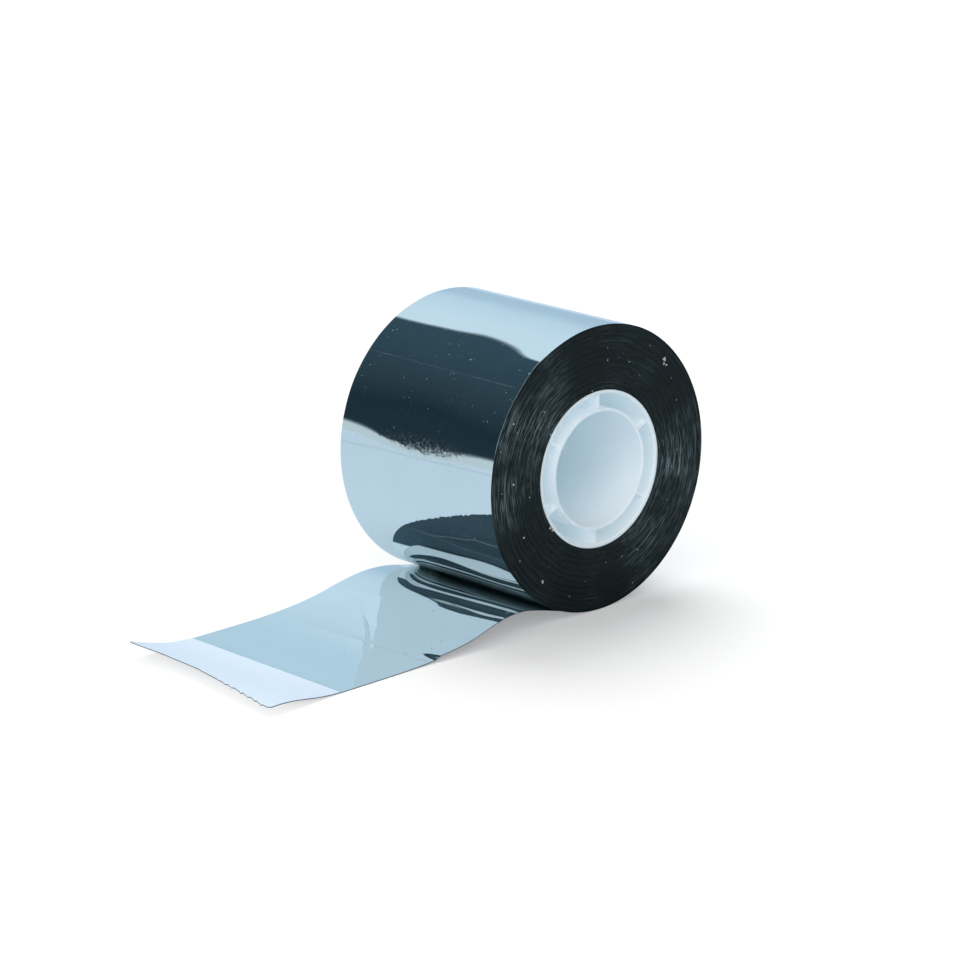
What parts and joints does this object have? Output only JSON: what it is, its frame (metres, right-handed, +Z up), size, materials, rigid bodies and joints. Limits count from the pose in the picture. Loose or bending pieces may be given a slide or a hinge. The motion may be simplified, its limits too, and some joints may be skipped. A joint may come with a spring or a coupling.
{
  "type": "aluminium foil tape",
  "caption": "Part-used roll of mirror-bright foil tape on a ribbed plastic core, lying on its side with its torn free end run out flat.",
  "frame": {"origin": "centre of the core's bore, midway between the roll's two end faces", "axes": "+Y along the roll's axis, +Z up as the roll lies, and the free end runs out towards -X"},
  "size_m": [0.1283, 0.05, 0.065],
  "materials": {
    "foil": "mirror-bright foil, nearly black between the turns on the end faces",
    "core_plastic": "translucent white moulding, satin",
    "tab_film": "smooth white strip"
  },
  "bodies": {
    "root": {"tape": "foil", "core": "core_plastic", "end_tab": "tab_film"}
  },
  "joints": []
}
